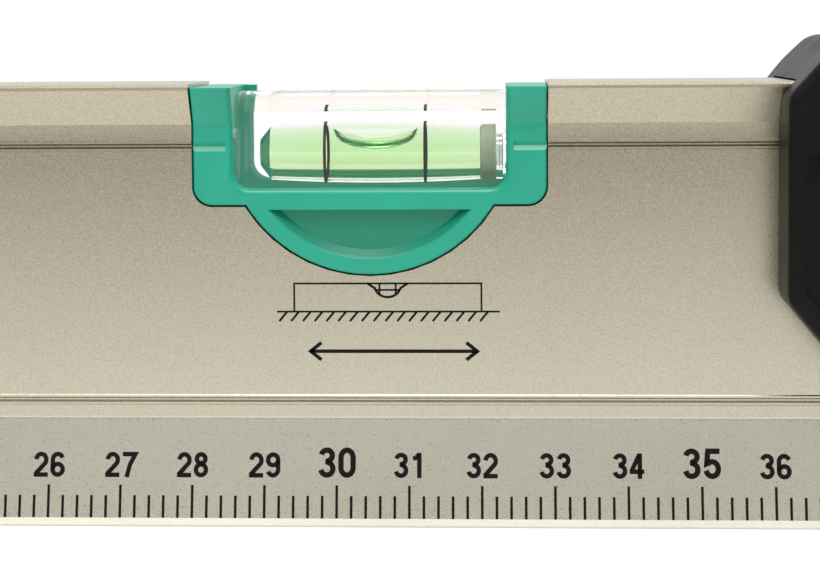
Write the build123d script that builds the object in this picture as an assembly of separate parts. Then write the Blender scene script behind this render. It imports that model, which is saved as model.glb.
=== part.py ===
from build123d import *
import os
from math import sqrt

# A ruler-type spirit level: a hollow aluminium body with a slanted ruler face along the
# bottom, a horizontal vial in a plastic holder let into the top rail, a plumb vial near
# the left end, and a clamshell handle round the top rail to the right of the middle.
# Frame: +X along the body (scale reads left to right seen from the front), front is -Y,
# +Z up, origin at the middle of the base.  All sizes are in millimetres.

os.makedirs("parts", exist_ok=True)

# ---- body section (half widths are measured from the middle plane, Y = 0) ----
body_length = 610.0
body_height = 61.0
rail_half_width = 10.0
web_half_width = 7.24
wall = 1.4
edge_break = 0.4
lip_height = 1.3           # upright strip under the ruler face
ruler_top = 14.7           # where the slanted ruler face meets the web
flare_depth = 5.6          # top of body down to where the rail flare meets the web
rail_side_depth = 0.8      # top of body down to the start of the flare
upper_groove_depth = 8.55  # top of body down to the upper groove's middle
lower_groove_height = 17.25
groove_half_mouth = 0.35
groove_half_floor = 0.1
groove_cut = 0.3
ridge_rise = 0.15          # low ridges each side of a groove
ridge_half_top = 0.6
ridge_half_foot = 0.75

# ---- horizontal vial holder ----
holder_gap = 0.2           # between a holder and the edge of its cut-out
holder_half_length = 24.3
holder_depth = 16.8        # top of body down to the underside of the holder's arms
holder_corner = 2.6
holder_top_drop = 0.5      # more than edge_break, so that the arms end below it
belly_radius = 20.0
belly_overlap = 1.0        # how far the round belly reaches up into the arms' block
belly_centre_depth = 6.4   # top of body down to the centre of the round belly
window_half_length = 18.8
window_depth = 14.4        # top of body down to the window's sill
window_corner = 2.4
window_edge_radius = 1.1
outline_edge_radius = 0.35
pocket_top_depth = 17.4
pocket_outer_radius = 17.85
pocket_floor_radius = 16.6
pocket_depth = 1.2
leg_groove_margin = 1.0
leg_groove_half_mouth = 0.75
leg_groove_depth = 0.5
rear_lip_left = 1.7        # how far the lip behind the vial reaches in from the left arm
rear_lip_rise = 0.75       # and above the window's sill
rear_lip_root = 2.5        # how far it reaches down into the holder
rear_lip_lap = 0.4         # and into the arms, past the window's rounded edge

# ---- horizontal vial ----
vial_axis_depth = 9.8      # top of body down to the bore's axis
vial_half_width = 6.4      # of the clear block, front and back faces
vial_base_drop = 5.3       # bore's axis down to the block's underside
vial_shoulder_rise = 5.9   # bore's axis up to the edge where the domed top starts
vial_crown_rise = 8.6      # bore's axis up to the top of the dome
vial_dish_radius = 3.6     # shallow round dish in the block's closed end
vial_dish_depth = 0.5
vial_seat = 0.4            # how far each end of a tube sits into its holder
seat_gap = 0.05
bore_radius = 4.3          # at the crown of the barrel
bore_barrel_radius = 240.0
mark_centre = 0.6          # crown of the barrel and middle of the two marks
mark_spacing = 13.9
mark_width = 0.4
mark_depth = 0.12
vial_closed_end = 3.7      # solid length beyond the bore at the closed end
bore_cone_length = 1.5
bore_cone_radius = 1.9
vial_open_end = 4.0        # from the stopper's face to the open end
stopper_length = 2.2
plug_flange_radius = 4.6
plug_flange_length = 0.9
plug_groove_depth = 0.5
plug_groove_width = 0.35
bubble_length = 11.8
bubble_radius = 1.9
bubble_offset = 2.35       # bubble's middle above the bore's axis
bubble_gap = 0.15

# ---- plumb vial and its holder ----
plumb_from_left_end = 70.0
plumb_height = 34.9        # middle of the holder above the base
plumb_holder_half_width = 13.0
plumb_holder_half_height = 15.6
plumb_holder_corner = 4.0
plumb_window_half_width = 8.6
plumb_window_half_height = 12.6
plumb_window_corner = 2.4
plumb_vial_radius = 6.0
plumb_bore_radius = 3.4
plumb_barrel_radius = 160.0
plumb_mark_spacing = 9.6
plumb_closed_end = 2.4
plumb_open_end = 3.4
plumb_bore_cone_length = 1.0
plumb_bore_cone_radius = 2.3
plumb_stopper_length = 1.6
plumb_plug_flange_radius = 4.2
plumb_bubble_length = 7.6
plumb_bubble_radius = 2.2
plumb_bubble_offset = 1.6

# ---- handle ----
handle_left = 55.75
handle_length = 140.0
handle_bottom = 20.6
handle_rise = 6.2          # above the top of the body
handle_half_depth = 17.0
handle_low_start = 31.9    # where the lower corner chamfers begin
handle_low_run = 9.4
handle_high_start = 59.2   # where the upper corner chamfers begin
handle_high_run = 7.3
handle_corner = 3.0
handle_front_edge = 1.4
handle_back_edge = 6.0
handle_body_gap = 0.1
handle_wall = 2.6
handle_end_wall = 5.72     # at the ends and the bottom, where the shell grips the body
handle_core_corner = 2.0
handle_floor = 2.4
shell_gap = 0.05
recess_inset = 2.2
recess_depth = 1.2
recess_low_margin = 5.94   # handle's bottom up to the recess
recess_low_run = 6.1       # recess's slanted lower corners
recess_corner_rise = 1.32
recess_high_margin = 6.6   # start of the handle's upper chamfer down to the recess's ears
recess_ear_drop = 4.0
recess_ear_run = 5.4
recess_corner = 1.2
recess_rear_trim = 5.28    # the rear recess ends this far inside the rounded back
grip_rib_width = 1.8
grip_rib_rise = 0.7
grip_rib_root = 0.3        # how far a rib reaches into the recess's floor
grip_rib_end_radius = 0.86
grip_rib_pitch = 5.0
grip_rib_end_margin = 14.0
grip_rib_edge_margin = 3.0
screw_inset_x = 17.0
screw_low_height = 29.0
screw_high_height = 45.5
boss_radius = 4.2
screw_radius = 1.9
screw_head_radius = 3.6
screw_head_height = 2.4
screw_head_round = 0.8
screw_tip_gap = 0.2
screw_head_gap = 0.3
screw_hole_gap = 0.4
screw_seat = 10.6          # the heads' seats, behind the middle plane
screw_grip = 3.6           # thread held in the front shell's bosses
drive_radius = 1.5
drive_depth = 1.4
drive_width = 0.7

# ---- end caps ----
cap_plate = 2.5
cap_gap = 0.1
cap_spigot_length = 14.0
cap_spigot_wall = 1.6
cap_spigot_gap = 0.35
cap_rib_width = 1.2

# ---- places worked out from the sizes above ----
body_left = -body_length / 2
body_top = body_height
vial_axis = body_top - vial_axis_depth
plumb_x = body_left + plumb_from_left_end
handle_right = handle_left + handle_length
handle_top = body_top + handle_rise
far = 2.5 * body_height    # well outside the section, for cutting blocks
tiny = 0.01                # slack when edges are found by where they lie


def along_x(face, x_start, x_end):
    """Extrude a face drawn on Plane.YZ from x_start to x_end."""
    return Pos(x_start, 0, 0) * extrude(face, x_end - x_start)


def block(x0, x1, y0, y1, z0, z1):
    """A box between two corners."""
    centre = Pos((x0 + x1) / 2, (y0 + y1) / 2, (z0 + z1) / 2)
    return centre * Box(x1 - x0, y1 - y0, z1 - z0)


def through_y(points, radii, y0, y1):
    """A prism along Y of an X-Z outline, each corner rounded by its own radius."""
    outline = make_face(Plane.XZ * Polyline(*points, close=True))
    for point, radius in zip(points, radii):
        if radius > 0:
            corner = outline.vertices().sort_by_distance(Vector(point[0], 0, point[1]))[0]
            outline = fillet(corner, radius)
    return Pos(0, y1, 0) * extrude(outline, y1 - y0, dir=(0, -1, 0))


def mirrored_section(half):
    """A face on Plane.YZ from the points of its +Y half, listed bottom to top."""
    points = half + [(-y, z) for y, z in reversed(half)]
    return make_face(Plane.YZ * Polyline(*points, close=True))


def section_half(grow=0.0, ridges=False):
    """Outer half section of the body, moved out by grow, bottom to top."""
    rail = rail_half_width + grow
    web = web_half_width + grow
    top = body_top + grow
    low = [(rail - edge_break, -grow), (rail, edge_break - grow), (rail, lip_height), (web, ruler_top)]
    high = [
        (web, body_top - flare_depth),
        (rail, body_top - rail_side_depth),
        (rail, top - edge_break),
        (rail - edge_break, top),
    ]
    middle = []
    if ridges:
        for height in (lower_groove_height, body_top - upper_groove_depth):
            middle += groove_points(web, height)
    return low + middle + high


def groove_points(web, height):
    """A V groove between two low ridges, bottom to top."""
    crest = web + ridge_rise
    floor = web - groove_cut
    return [
        (web, height - ridge_half_foot),
        (crest, height - ridge_half_top),
        (crest, height - groove_half_mouth),
        (floor, height - groove_half_floor),
        (floor, height + groove_half_floor),
        (crest, height + groove_half_mouth),
        (crest, height + ridge_half_top),
        (web, height + ridge_half_foot),
    ]


def cavity_half(inset=0.0):
    """Half section of the hollow inside the body, moved in by inset."""
    shrink = wall + inset
    web = web_half_width - shrink
    rail = rail_half_width - shrink
    return [
        (rail, shrink),
        (web, ruler_top),
        (web, body_top - flare_depth),
        (rail, body_top - rail_side_depth - shrink),
        (rail, body_top - shrink),
    ]


def holder_outline(gap):
    """X-Z prism of the horizontal holder: arms, corners and the round belly, grown by gap."""
    half = holder_half_length + gap
    under = body_top - holder_depth - gap
    arms = through_y(
        [(-half, under), (half, under), (half, far), (-half, far)],
        [holder_corner + gap, holder_corner + gap, 0, 0],
        -far / 2,
        far / 2,
    )
    centre = Pos(0, 0, body_top - belly_centre_depth) * Rot(90, 0, 0)
    belly = centre * Cylinder(belly_radius + gap, far)
    return arms + (belly - block(-far, far, -far, far, under + belly_overlap, 2 * far))


def plumb_prism(half_width, half_height, corner):
    """Rounded rectangle through the body round the plumb vial's middle."""
    points = [
        (plumb_x - half_width, plumb_height - half_height),
        (plumb_x + half_width, plumb_height - half_height),
        (plumb_x + half_width, plumb_height + half_height),
        (plumb_x - half_width, plumb_height + half_height),
    ]
    return through_y(points, [corner] * 4, -far / 2, far / 2)


def screw_places():
    """X, Z of the four handle screws."""
    for x in (handle_left + screw_inset_x, handle_right - screw_inset_x):
        for z in (screw_low_height, screw_high_height):
            yield x, z


def y_cylinder(x, z, radius, y0, y1):
    """A cylinder along Y."""
    return Pos(x, (y0 + y1) / 2, z) * Rot(90, 0, 0) * Cylinder(radius, y1 - y0)


def make_body():
    shell = along_x(mirrored_section(section_half(ridges=True)), body_left, -body_left)
    shell -= along_x(mirrored_section(cavity_half()), body_left - 1, -body_left + 1)
    shell -= holder_outline(holder_gap)
    shell -= plumb_prism(
        plumb_holder_half_width + holder_gap,
        plumb_holder_half_height + holder_gap,
        plumb_holder_corner + holder_gap,
    )
    for x, z in screw_places():
        shell -= y_cylinder(x, z, screw_radius + screw_hole_gap, -far, far)
    return shell


def edges_inside(shape, x_half, z_low, y_least):
    """Edges on the front and back faces round a window, found by where they lie."""
    chosen = []
    for edge in shape.edges():
        box = edge.bounding_box()
        inside = box.max.X <= x_half + tiny and box.min.X >= -x_half - tiny
        forward = box.min.Y > y_least or box.max.Y < -y_least
        if inside and forward and box.min.Z >= z_low - tiny:
            chosen.append(edge)
    return chosen


def outline_edges(shape):
    """Edges of the holder's front and back faces along the cut-out, up to the arms' tops."""
    clear_of_rim = window_half_length + window_edge_radius + 0.1
    below_rim = body_top - window_depth - window_edge_radius - 0.1
    chosen = []
    for edge in shape.edges():
        box = edge.bounding_box()
        nearest = min(abs(box.min.Y), abs(box.max.Y))
        one_face = box.min.Y * box.max.Y > 0 and nearest > web_half_width - tiny
        low = box.max.Z < below_rim
        side = min(abs(box.min.X), abs(box.max.X)) > clear_of_rim and box.max.Z - box.min.Z > 0.05
        if one_face and (low or side):
            chosen.append(edge)
    return chosen


def pocket_cut(side):
    """D-shaped pocket in the belly: a short cone below a straight edge; side is -1 or +1."""
    centre_z = body_top - belly_centre_depth
    face = side * web_half_width
    profile = [
        (0, 0),
        (pocket_outer_radius, 0),
        (pocket_floor_radius, pocket_depth),
        (0, pocket_depth),
    ]
    points = [(radius, face - side * depth) for radius, depth in profile]
    disc = revolve(make_face(Polyline(*points, close=True)), Axis.Y)
    disc = Pos(0, 0, centre_z) * disc
    cover = block(-far, far, -far, far, body_top - pocket_top_depth, 2 * far)
    return disc - cover


def leg_groove(side_x, side_y):
    """A V groove across one arm's outer part, in line with the body's upper groove."""
    height = body_top - upper_groove_depth
    web = web_half_width
    spread = leg_groove_half_mouth
    points = [
        (side_y * (web + leg_groove_depth), height - 2 * spread),
        (side_y * (web - leg_groove_depth), height),
        (side_y * (web + leg_groove_depth), height + 2 * spread),
    ]
    face = make_face(Plane.YZ * Polyline(*points, close=True))
    inner = window_half_length + leg_groove_margin
    outer = holder_half_length + 1
    if side_x > 0:
        return along_x(face, inner, outer)
    return along_x(face, -outer, -inner)


def rear_lip(sill):
    """Thin lip behind the vial, along the window's sill and up its left arm."""
    half = window_half_length
    wide = half + window_edge_radius + rear_lip_lap
    near = vial_half_width + seat_gap
    top = body_top - holder_top_drop
    lip = block(-wide, wide, near, web_half_width, sill - rear_lip_root, top)
    left = rear_lip_left - half
    low = sill + rear_lip_rise
    opening = [(left, low), (half, low), (half, far), (left, far)]
    return lip - through_y(opening, [window_corner, window_corner, 0, 0], -far / 2, far / 2)


def make_horizontal_holder():
    section = along_x(mirrored_section(section_half()), -far, far)
    holder = holder_outline(0) & section
    holder -= block(-far, far, -far, far, body_top - holder_top_drop, 2 * far)
    sill = body_top - window_depth
    half = window_half_length
    corners = [(-half, sill), (half, sill), (half, far), (-half, far)]
    holder -= through_y(corners, [window_corner, window_corner, 0, 0], -far / 2, far / 2)
    rim = edges_inside(holder, window_half_length, sill, web_half_width - 0.1)
    holder = fillet(rim, window_edge_radius)
    holder = fillet(outline_edges(holder), outline_edge_radius)
    for side in (-1, 1):
        holder -= pocket_cut(side)
        for side_x in (-1, 1):
            holder -= leg_groove(side_x, side)
    holder += rear_lip(sill)
    seat_half = half + vial_seat
    seat = along_x(vial_section(seat_gap), -seat_half, seat_half)
    return holder - Pos(0, 0, vial_axis) * seat


def barrel_radius_at(distance, crown, curve):
    """Bore radius at a distance along the axis from the crown of the barrel."""
    return crown - (curve - sqrt(curve * curve - distance * distance))


def bore_face(crown, curve, low, high, cone_length, cone_radius):
    """Half section (axial, radial) of a barrel-shaped bore with a coned closed end."""
    low_radius = barrel_radius_at(low, crown, curve)
    high_radius = barrel_radius_at(high, crown, curve)
    arc = ThreePointArc((-low, low_radius), (0, crown), (high, high_radius))
    rest = Polyline(
        (high, high_radius),
        (high, 0),
        (-low - cone_length, 0),
        (-low - cone_length, cone_radius),
        (-low, low_radius),
    )
    return make_face([arc, rest])


def barrel_arc(first, last, crown, curve):
    """Arc of the bore's wall between two distances from the crown."""
    middle = (first + last) / 2
    points = [(x, barrel_radius_at(abs(x), crown, curve)) for x in (first, middle, last)]
    return ThreePointArc(*points)


def mark_inner_radius(size):
    """Inner radius of the ring marks, just clear of the liquid."""
    nearest = size["marks"] / 2 - mark_width / 2
    return barrel_radius_at(nearest, size["crown"], size["curve"])


def tube_face(size):
    """Half section (axial, radial) of a tube: closed end, cone, barrel, mark grooves, plug seat."""
    crown = size["crown"]
    curve = size["curve"]
    low = size["low"]
    high = size["high"]
    half = size["marks"] / 2
    groove = mark_inner_radius(size) + mark_depth
    near = half - mark_width / 2
    away = half + mark_width / 2
    seat = size["end"] - plug_flange_length
    open_radius = barrel_radius_at(high, crown, curve)
    near_radius = barrel_radius_at(near, crown, curve)
    away_radius = barrel_radius_at(away, crown, curve)
    edges = [
        Polyline(
            (size["start"], 0),
            (size["start"], size["outer"]),
            (size["end"], size["outer"]),
            (size["end"], size["flange"]),
            (seat, size["flange"]),
            (seat, open_radius),
            (high, open_radius),
        ),
        barrel_arc(high, away, crown, curve),
        Polyline((away, away_radius), (away, groove), (near, groove), (near, near_radius)),
        barrel_arc(near, -near, crown, curve),
        Polyline((-near, near_radius), (-near, groove), (-away, groove), (-away, away_radius)),
        barrel_arc(-away, -low, crown, curve),
        Polyline(
            (-low, barrel_radius_at(low, crown, curve)),
            (-low - size["cone_length"], size["cone_radius"]),
            (-low - size["cone_length"], 0),
            (size["start"], 0),
        ),
    ]
    return make_face(edges)


def ring_marks(size):
    """Two thin rings let into the bore's wall."""
    inner = mark_inner_radius(size)
    rings = []
    for side in (-1, 1):
        tube = Cylinder(inner + mark_depth, mark_width) - Cylinder(inner, mark_width + 1)
        rings.append(Pos(side * size["marks"] / 2, 0, 0) * Rot(0, 90, 0) * tube)
    return rings


def plug_solid(face, bore, flange_radius, end):
    """End plug along +X from face to end: a stub in the bore, a groove and a flange."""
    start_of_flange = end - plug_flange_length
    plug = x_cylinder(bore, face, start_of_flange)
    groove_start = (face + start_of_flange - plug_groove_width) / 2
    ring = x_cylinder(bore + 1, groove_start, groove_start + plug_groove_width)
    ring -= x_cylinder(bore - plug_groove_depth, groove_start - 1, groove_start + 2)
    return plug - ring + x_cylinder(flange_radius, start_of_flange, end)


def x_cylinder(radius, x0, x1):
    """A cylinder along X on the axis."""
    return Pos((x0 + x1) / 2, 0, 0) * Rot(0, 90, 0) * Cylinder(radius, x1 - x0)


def vial_section(gap):
    """Y-Z section of the clear block about the bore's axis, grown by gap: flat sides, domed top."""
    half = vial_half_width + gap
    base = -vial_base_drop - gap
    shoulder = vial_shoulder_rise + gap
    crown = vial_crown_rise + gap
    outline = [
        Polyline((-half, shoulder), (-half, base), (half, base), (half, shoulder)),
        ThreePointArc((half, shoulder), (0, crown), (-half, shoulder)),
    ]
    return Plane.YZ * make_face(outline)


def vial_pieces(size):
    """Tube, liquid, bubble, stopper, plug and marks of one vial, lying along X at its crown.

    The closed end points to -X.  The liquid has a straight channel above the axis, in
    which the bubble slides from one end of the bore to the other.
    """
    crown = size["crown"]
    curve = size["curve"]
    low = size["low"]
    high = size["high"]
    cone = size["cone_length"]
    bore = revolve(bore_face(crown, curve, low, high, cone, size["cone_radius"]), Axis.X)
    open_radius = barrel_radius_at(high, crown, curve)
    stopper_end = high + size["stopper"]
    start = size["start"]
    end = size["end"]
    hollow = x_cylinder(size["outer"], start, end) - revolve(tube_face(size), Axis.X)
    tube = size["body"] - hollow
    rings = ring_marks(size)
    stopper = x_cylinder(open_radius, high, stopper_end)
    plug = plug_solid(stopper_end, open_radius, size["flange"], end)

    narrow = min(open_radius, barrel_radius_at(low, crown, curve))
    half = size["bubble"] / 2
    bubble = scale(Sphere(1), by=(half, size["bubble_radius"], size["bubble_radius"]))
    bubble = Pos(0, 0, size["offset"]) * bubble
    bubble = bubble & x_cylinder(narrow - bubble_gap, -size["bubble"], size["bubble"])

    channel = x_cylinder(size["bubble_radius"] + bubble_gap, -low, high)
    channel = Pos(0, 0, size["offset"]) * channel
    liquid = bore - channel
    return {
        "tube": tube,
        "liquid": liquid,
        "bubble": bubble,
        "stopper": stopper,
        "plug": plug,
        "marks": Compound(rings),
    }


def horizontal_vial():
    half = window_half_length + vial_seat
    start = -half - mark_centre
    end = half - mark_centre
    dish = x_cylinder(vial_dish_radius, start, start + vial_dish_depth)
    size = {
        "body": along_x(vial_section(0), start, end) - dish,
        "outer": vial_base_drop,
        "start": start,
        "end": end,
        "crown": bore_radius,
        "curve": bore_barrel_radius,
        "low": -start - vial_closed_end - bore_cone_length,
        "high": end - vial_open_end,
        "cone_length": bore_cone_length,
        "cone_radius": bore_cone_radius,
        "stopper": stopper_length,
        "flange": plug_flange_radius,
        "marks": mark_spacing,
        "bubble": bubble_length,
        "bubble_radius": bubble_radius,
        "offset": bubble_offset,
    }
    place = Pos(mark_centre, 0, vial_axis)
    return {name: place * piece for name, piece in vial_pieces(size).items()}


def plumb_vial():
    end = plumb_window_half_height + vial_seat
    size = {
        "body": x_cylinder(plumb_vial_radius, -end, end),
        "outer": plumb_vial_radius,
        "start": -end,
        "end": end,
        "crown": plumb_bore_radius,
        "curve": plumb_barrel_radius,
        "low": end - plumb_closed_end - plumb_bore_cone_length,
        "high": end - plumb_open_end,
        "cone_length": plumb_bore_cone_length,
        "cone_radius": plumb_bore_cone_radius,
        "stopper": plumb_stopper_length,
        "flange": plumb_plug_flange_radius,
        "marks": plumb_mark_spacing,
        "bubble": plumb_bubble_length,
        "bubble_radius": plumb_bubble_radius,
        "offset": plumb_bubble_offset,
    }
    # Turned so that the closed end is down and the bubble's side of the bore faces -X.
    place = Pos(plumb_x, 0, plumb_height) * Rot(0, -90, 0)
    pieces = {name: place * piece for name, piece in vial_pieces(size).items()}
    resting_rise = size["high"] - plumb_bubble_length / 2 - bubble_gap
    pieces["bubble"] = Pos(0, 0, resting_rise) * pieces["bubble"]
    return pieces


def make_plumb_holder():
    section = block(-far * 4, far * 4, -web_half_width, web_half_width, 0, far)
    holder = plumb_prism(plumb_holder_half_width, plumb_holder_half_height, plumb_holder_corner)
    holder &= section
    holder -= plumb_prism(plumb_window_half_width, plumb_window_half_height, plumb_window_corner)
    rim = []
    for edge in holder.edges():
        box = edge.bounding_box()
        flat = box.max.Y - box.min.Y < tiny
        across = abs((box.max.X + box.min.X) / 2 - plumb_x) <= plumb_window_half_width + tiny
        upright = abs((box.max.Z + box.min.Z) / 2 - plumb_height) <= plumb_window_half_height + tiny
        if flat and across and upright:
            rim.append(edge)
    holder = fillet(rim, window_edge_radius)
    seat_half = plumb_window_half_height + vial_seat
    seat = Pos(plumb_x, 0, plumb_height) * Cylinder(plumb_vial_radius + seat_gap, 2 * seat_half)
    return holder - seat


def handle_outline():
    """X-Z corner points of the handle, anticlockwise from the lower left."""
    return [
        (handle_left + handle_low_run, handle_bottom),
        (handle_right - handle_low_run, handle_bottom),
        (handle_right, handle_low_start),
        (handle_right, handle_high_start),
        (handle_right - handle_high_run, handle_top),
        (handle_left + handle_high_run, handle_top),
        (handle_left, handle_high_start),
        (handle_left, handle_low_start),
    ]


def recess_points():
    """X-Z outline of the shallow recess in each grip face."""
    left = handle_left + recess_inset
    right = handle_right - recess_inset
    low = handle_bottom + recess_low_margin
    side = handle_low_start + recess_corner_rise
    ear_top = handle_high_start - recess_high_margin
    top = ear_top - recess_ear_drop
    return [
        (left + recess_low_run, low),
        (right - recess_low_run, low),
        (right, side),
        (right, ear_top),
        (right - recess_ear_run, top),
        (left + recess_ear_run, top),
        (left, ear_top),
        (left, side),
    ]


def grip_ribs(side):
    """Upright grip ribs on the recess floor; side is -1 for the front."""
    floor = handle_half_depth - recess_depth
    low = handle_bottom + recess_low_margin + grip_rib_edge_margin
    high = handle_high_start - recess_high_margin - recess_ear_drop - grip_rib_edge_margin
    start = handle_left + grip_rib_end_margin
    count = int((handle_length - 2 * grip_rib_end_margin) / grip_rib_pitch)
    first = start + (handle_length - 2 * grip_rib_end_margin - count * grip_rib_pitch) / 2
    ribs = []
    for index in range(count + 1):
        x = first + index * grip_rib_pitch
        y0, y1 = sorted((side * (floor - grip_rib_root), side * (floor + grip_rib_rise)))
        bar = block(x - grip_rib_width / 2, x + grip_rib_width / 2, y0, y1, low, high)
        upright = bar.edges().filter_by(Axis.Y)
        bar = fillet(upright, grip_rib_end_radius)
        ribs.append(bar)
    return ribs


def palm_rounding():
    """Solid that rounds the rear shell: round-backed in section and in plan."""
    front = -shell_gap
    back = handle_half_depth
    corners = [(front, handle_bottom), (back, handle_bottom), (back, handle_top), (front, handle_top)]
    section = make_face(Plane.YZ * Polyline(*corners, close=True))
    section = fillet(section.vertices().sort_by(Axis.Y)[-2:], handle_back_edge)
    corners = [(handle_left, front), (handle_right, front), (handle_right, back), (handle_left, back)]
    plan = make_face(Polyline(*corners, close=True))
    plan = fillet(plan.vertices().sort_by(Axis.Y)[-2:], handle_back_edge)
    return along_x(section, handle_left - 1, handle_right + 1) & extrude(plan, far)


def handle_half(side):
    """One shell of the handle before its screw details; side is -1 for the front."""
    y0, y1 = sorted((side * shell_gap, side * handle_half_depth))
    shell = through_y(handle_outline(), [handle_corner] * 8, y0, y1)
    if side < 0:
        shell = fillet(shell.faces().sort_by(Axis.Y)[0].edges(), handle_front_edge)
    else:
        shell &= palm_rounding()
    clearance = ridge_rise + handle_body_gap
    hole = mirrored_section(section_half(grow=clearance))
    passage = along_x(hole, handle_left - 1, handle_right + 1)
    return shell - passage


def handle_core(side, floor_depth):
    """The hollow inside one shell, from the web to the shell's floor."""
    inner = web_half_width + ridge_rise + handle_body_gap
    y0, y1 = sorted((side * (inner - handle_body_gap), side * floor_depth))
    left = handle_left + handle_end_wall
    right = handle_right - handle_end_wall
    low = handle_bottom + handle_end_wall
    side_low = handle_low_start + handle_wall
    high = body_top - flare_depth - handle_wall
    points = [
        (handle_left + handle_low_run + handle_wall, low),
        (handle_right - handle_low_run - handle_wall, low),
        (right, side_low),
        (right, high),
        (left, high),
        (left, side_low),
    ]
    return through_y(points, [handle_core_corner] * 6, y0, y1)


def make_handle_front():
    shell = handle_half(-1)
    shell -= through_y(recess_points(), [recess_corner] * 8, -far, -handle_half_depth + recess_depth)
    floor_depth = handle_half_depth - recess_depth - handle_floor
    core = handle_core(-1, floor_depth)
    for x, z in screw_places():
        core -= y_cylinder(x, z, boss_radius, -far, far)
    shell -= core
    for rib in grip_ribs(-1):
        shell += rib
    inner = web_half_width + ridge_rise + handle_body_gap
    for x, z in screw_places():
        shell -= y_cylinder(x, z, screw_radius, -inner - screw_grip, 0)
    return shell


def make_handle_rear():
    shell = handle_half(1)
    recess = through_y(recess_points(), [recess_corner] * 8, handle_half_depth - recess_depth, far)
    trim = recess_rear_trim
    recess &= block(handle_left + trim, handle_right - trim, 0, far, handle_bottom + trim, handle_top)
    shell -= recess
    floor_depth = handle_half_depth - recess_depth - handle_floor
    core = handle_core(1, floor_depth)
    for x, z in screw_places():
        core -= y_cylinder(x, z, boss_radius + screw_head_gap, -far, far)
    shell -= core
    for rib in grip_ribs(1):
        shell += rib
    for x, z in screw_places():
        shell -= y_cylinder(x, z, screw_radius + screw_hole_gap, 0, far)
        shell -= y_cylinder(x, z, screw_head_radius + screw_head_gap, screw_seat, far)
    return shell


def make_screws():
    """Four pan-head screws with a cross recess, driven from the rear."""
    inner = web_half_width + ridge_rise + handle_body_gap
    screws = []
    for x, z in screw_places():
        screw = y_cylinder(x, z, screw_radius, -inner - screw_grip + screw_tip_gap, screw_seat)
        head = y_cylinder(x, z, screw_head_radius, screw_seat, screw_seat + screw_head_height)
        head = fillet(head.edges().group_by(Axis.Y)[-1], screw_head_round)
        screw += head
        for turn in (0, 90):
            slot = Rot(0, turn, 0) * Box(2 * drive_radius, 2 * drive_depth, drive_width)
            screw -= Pos(x, screw_seat + screw_head_height, z) * slot
        screws.append(screw)
    return Compound(screws)


def make_end_cap(side):
    """Push-in plug, flush with the body's end: a plate, a hollow spigot and a middle rib."""
    plate = along_x(mirrored_section(cavity_half(cap_gap)), 0, cap_plate)
    outside = mirrored_section(cavity_half(cap_spigot_gap))
    inside = mirrored_section(cavity_half(cap_spigot_gap + cap_spigot_wall))
    spigot = along_x(outside, cap_plate, cap_spigot_length)
    hollow = along_x(inside, cap_plate, cap_spigot_length + 1)
    for height in (body_height / 3, body_height * 2 / 3):
        hollow -= block(0, 2 * cap_spigot_length, -far, far, height, height + cap_rib_width)
    cap = plate + (spigot - hollow)
    if side < 0:
        return Pos(body_left, 0, 0) * cap
    return mirror(Pos(body_left, 0, 0) * cap, about=Plane.YZ)


nodes = {
    "body_extrusion": make_body(),
    "end_cap_left": make_end_cap(-1),
    "end_cap_right": make_end_cap(1),
    "horizontal_vial_holder": make_horizontal_holder(),
    "plumb_vial_holder": make_plumb_holder(),
    "handle_front_shell": make_handle_front(),
    "handle_rear_shell": make_handle_rear(),
    "handle_screws": make_screws(),
}
for place, pieces in (("horizontal", horizontal_vial()), ("plumb", plumb_vial())):
    for name, piece in pieces.items():
        nodes[f"{place}_vial_{name}"] = piece

for name, shape in nodes.items():
    export_step(shape, f"parts/{name}.step")
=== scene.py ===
import math

import bmesh
import bpy
from mathutils import Matrix, Vector


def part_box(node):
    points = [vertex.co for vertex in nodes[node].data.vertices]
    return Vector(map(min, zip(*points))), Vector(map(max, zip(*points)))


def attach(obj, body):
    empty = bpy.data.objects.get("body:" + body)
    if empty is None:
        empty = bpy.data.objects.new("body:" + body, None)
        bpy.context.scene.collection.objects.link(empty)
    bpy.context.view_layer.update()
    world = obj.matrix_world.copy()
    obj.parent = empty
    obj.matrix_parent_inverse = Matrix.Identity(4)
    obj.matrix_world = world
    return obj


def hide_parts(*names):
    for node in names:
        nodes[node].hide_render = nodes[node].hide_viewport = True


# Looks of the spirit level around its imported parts.  Everything is in metres, in the frame
# that the parts share: +X along the body, front towards -Y, +Z up, origin at the middle of
# the base.

MM = 0.001

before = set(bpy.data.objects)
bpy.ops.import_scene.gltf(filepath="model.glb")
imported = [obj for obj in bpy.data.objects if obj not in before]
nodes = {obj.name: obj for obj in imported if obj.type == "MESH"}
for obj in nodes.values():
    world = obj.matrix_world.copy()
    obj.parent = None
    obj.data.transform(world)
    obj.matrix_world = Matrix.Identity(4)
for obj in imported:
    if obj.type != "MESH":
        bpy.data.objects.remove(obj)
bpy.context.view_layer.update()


# ---------------------------------------------------------------- shader helpers

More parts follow.
